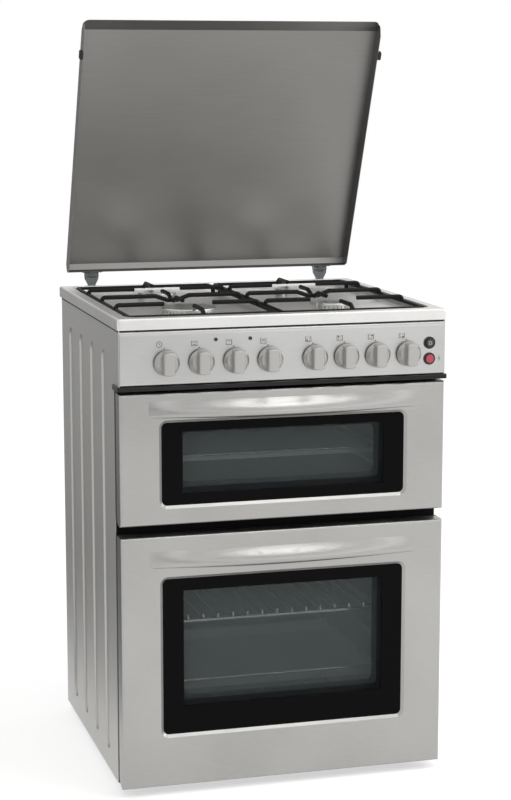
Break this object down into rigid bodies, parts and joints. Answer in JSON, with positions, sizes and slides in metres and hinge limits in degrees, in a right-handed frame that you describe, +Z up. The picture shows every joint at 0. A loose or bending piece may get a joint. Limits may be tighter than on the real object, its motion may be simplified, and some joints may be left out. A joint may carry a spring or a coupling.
{
  "type": "free-standing double-oven cooker",
  "caption": "Free-standing cooker in brushed steel: gas hob with rod pan supports under a raised hinged lid, knob panel, and a small oven over a large one with drop-down glazed doors.",
  "frame": {"origin": "on the floor under the middle of the cooker", "axes": "+Z up, -Y to the front with the doors and knobs, +X to the right seen from the front"},
  "size_m": [0.603, 0.587, 1.3686],
  "materials": {
    "brushed steel": "brushed",
    "polished steel": "polished",
    "silver paint": "satin",
    "galvanised sheet": "dull",
    "black enamel": "gloss",
    "oven enamel": "gloss",
    "outer glass": "gloss",
    "inner glass": "gloss",
    "mineral wool": "fibrous",
    "seal rubber": "matte",
    "chromed wire": "polished",
    "element sheath": "oxidised",
    "lamp glass": "clear",
    "burner alloy": "satin",
    "electrode ceramic": "matte",
    "tap brass": "machined",
    "steel tube": "dull",
    "control plastic": "matte",
    "silver plastic": "satin",
    "black button": "gloss",
    "red button": "gloss",
    "red lens": "gloss",
    "hinge grey": "satin"
  },
  "bodies": {
    "cabinet": {"control_panel": "brushed steel", "hob_top": "polished steel", "side_panel_left": "silver paint", "side_panel_right": "silver paint", "back_panel": "galvanised sheet", "base_tray": "galvanised sheet", "door_hinge_arms": "galvanised sheet", "cabinet_screws": "galvanised sheet", "front_frame": "black enamel", "heat_deflector": "black enamel", "oven_trays": "black enamel", "lower_cavity": "oven enamel", "upper_cavity": "oven enamel", "cavity_insulation": "mineral wool", "door_seals": "seal rubber", "shelf_runners": "chromed wire", "lower_shelf": "chromed wire", "heating_elements": "element sheath", "oven_lamps": "lamp glass", "burner_cups": "burner alloy", "burner_crowns": "burner alloy", "burner_caps": "burner alloy", "spark_electrodes": "electrode ceramic", "gas_taps": "tap brass", "gas_pipework": "steel tube", "oven_controls": "control plastic", "electric_boxes": "control plastic", "push_switches": "control plastic", "levelling_feet": "control plastic", "indicator_lamps": "red lens", "lid_hinge_posts": "hinge grey"},
    "lid": {"lid_panel": "brushed steel", "lid_hinge_leaves": "hinge grey", "lid_bumpers": "seal rubber"},
    "lower_door": {"lower_door_skin": "brushed steel", "lower_outer_glass": "outer glass", "lower_inner_glass": "inner glass", "lower_door_liner": "black enamel", "lower_door_hinges": "galvanised sheet"},
    "upper_door": {"upper_door_skin": "brushed steel", "upper_outer_glass": "outer glass", "upper_inner_glass": "inner glass", "upper_door_liner": "black enamel", "upper_door_hinges": "galvanised sheet"},
    "pan_support_left": {"pan_support_left": "black enamel"},
    "pan_support_right": {"pan_support_right": "black enamel"},
    "light_button": {"light_button": "black button"},
    "spark_button": {"spark_button": "red button"},
    "knob_timer": {"knob_timer": "silver plastic"},
    "knob_main_oven": {"knob_main_oven": "silver plastic"},
    "knob_top_oven": {"knob_top_oven": "silver plastic"},
    "knob_grill": {"knob_grill": "silver plastic"},
    "spindle_front_left": {"spindle_front_left": "tap brass"},
    "knob_front_left": {"knob_front_left": "silver plastic"},
    "spindle_rear_left": {"spindle_rear_left": "tap brass"},
    "knob_rear_left": {"knob_rear_left": "silver plastic"},
    "spindle_rear_right": {"spindle_rear_right": "tap brass"},
    "knob_rear_right": {"knob_rear_right": "silver plastic"},
    "spindle_front_right": {"spindle_front_right": "tap brass"},
    "knob_front_right": {"knob_front_right": "silver plastic"}
  },
  "joints": [
    {"name": "lid_hinge", "type": "hinge", "parent": "cabinet", "child": "lid", "pos_m": [0, 0.2875, 0.88], "axis": [-1, 0, 0], "range_deg": [-66.5, 33.5]},
    {"name": "lower_door_hinge", "type": "hinge", "parent": "cabinet", "child": "lower_door", "pos_m": [0, -0.2535, 0.042], "axis": [1, 0, 0], "range_deg": [0, 90]},
    {"name": "upper_door_hinge", "type": "hinge", "parent": "cabinet", "child": "upper_door", "pos_m": [0, -0.2535, 0.519], "axis": [1, 0, 0], "range_deg": [0, 90]},
    {"name": "turn_timer", "type": "hinge", "parent": "cabinet", "child": "knob_timer", "pos_m": [-0.214, -0.279, 0.7795], "axis": [0, 1, 0], "range_deg": [0, 300]},
    {"name": "turn_main_oven", "type": "hinge", "parent": "cabinet", "child": "knob_main_oven", "pos_m": [-0.152, -0.279, 0.7795], "axis": [0, 1, 0], "range_deg": [0, 270]},
    {"name": "turn_top_oven", "type": "hinge", "parent": "cabinet", "child": "knob_top_oven", "pos_m": [-0.09, -0.279, 0.7795], "axis": [0, 1, 0], "range_deg": [0, 270]},
    {"name": "turn_grill", "type": "hinge", "parent": "cabinet", "child": "knob_grill", "pos_m": [-0.028, -0.279, 0.7795], "axis": [0, 1, 0], "range_deg": [0, 270]},
    {"name": "push_front_left", "type": "slide", "parent": "cabinet", "child": "spindle_front_left", "axis": [0, 1, 0], "range_m": [0, 0.003], "stiffness_N_per_m": 1500},
    {"name": "turn_front_left", "type": "hinge", "parent": "spindle_front_left", "child": "knob_front_left", "pos_m": [0.054, -0.279, 0.7795], "axis": [0, -1, 0], "range_deg": [0, 210]},
    {"name": "push_rear_left", "type": "slide", "parent": "cabinet", "child": "spindle_rear_left", "axis": [0, 1, 0], "range_m": [0, 0.003], "stiffness_N_per_m": 1500},
    {"name": "turn_rear_left", "type": "hinge", "parent": "spindle_rear_left", "child": "knob_rear_left", "pos_m": [0.112, -0.279, 0.7795], "axis": [0, -1, 0], "range_deg": [0, 210]},
    {"name": "push_rear_right", "type": "slide", "parent": "cabinet", "child": "spindle_rear_right", "axis": [0, 1, 0], "range_m": [0, 0.003], "stiffness_N_per_m": 1500},
    {"name": "turn_rear_right", "type": "hinge", "parent": "spindle_rear_right", "child": "knob_rear_right", "pos_m": [0.17, -0.279, 0.7795], "axis": [0, -1, 0], "range_deg": [0, 210]},
    {"name": "push_front_right", "type": "slide", "parent": "cabinet", "child": "spindle_front_right", "axis": [0, 1, 0], "range_m": [0, 0.003], "stiffness_N_per_m": 1500},
    {"name": "turn_front_right", "type": "hinge", "parent": "spindle_front_right", "child": "knob_front_right", "pos_m": [0.228, -0.279, 0.7795], "axis": [0, -1, 0], "range_deg": [0, 210]},
    {"name": "press_light", "type": "slide", "parent": "cabinet", "child": "light_button", "axis": [0, 1, 0], "range_m": [0, 0.0035], "stiffness_N_per_m": 600},
    {"name": "press_spark", "type": "slide", "parent": "cabinet", "child": "spark_button", "axis": [0, 1, 0], "range_m": [0, 0.0035], "stiffness_N_per_m": 600},
    {"name": "lift_support_left", "type": "slide", "parent": "cabinet", "child": "pan_support_left", "axis": [0, 0, 1], "range_m": [0, 0.06]},
    {"name": "lift_support_right", "type": "slide", "parent": "cabinet", "child": "pan_support_right", "axis": [0, 0, 1], "range_m": [0, 0.06]}
  ]
}
